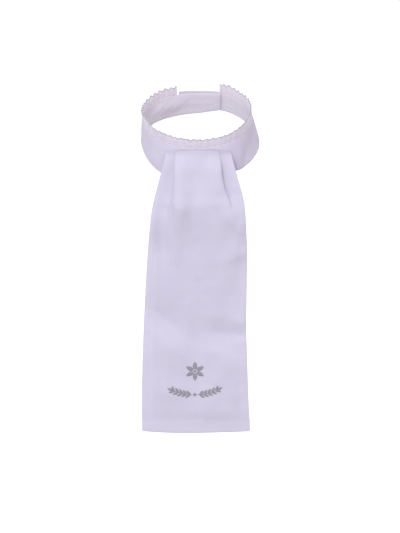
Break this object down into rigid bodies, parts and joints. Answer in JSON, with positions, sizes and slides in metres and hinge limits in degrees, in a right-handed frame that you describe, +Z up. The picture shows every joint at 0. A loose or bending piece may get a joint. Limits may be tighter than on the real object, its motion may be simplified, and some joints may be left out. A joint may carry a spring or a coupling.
{
  "type": "stock tie",
  "caption": "Pre-tied riding stock tie: shaped neck band with a gathered ruffle on its top edge, lapped ends at the nape and a pleated tail.",
  "frame": {"origin": "centre of the neck opening, on the neck's axis at the middle of the band's height", "axes": "+Z up, -Y the tie's front, +X to the right of someone facing it; the neck's axis leans 16 degrees from +Z towards -Y, so the band's front sits lower than its back"},
  "size_m": [0.1233, 0.1332, 0.3533],
  "materials": {
    "band_cotton": "woven cotton, white with a cool cast, interlined and pressed",
    "ruffle_cotton": "fine woven cotton, gathered",
    "tail_cotton": "woven cotton, double ply, turned and pressed",
    "fastener_pile": "white hook and loop pile"
  },
  "bodies": {
    "root": {"neck_band": "band_cotton", "ruffle": "ruffle_cotton", "tail": "tail_cotton", "touch_fastener": "fastener_pile"}
  },
  "joints": []
}
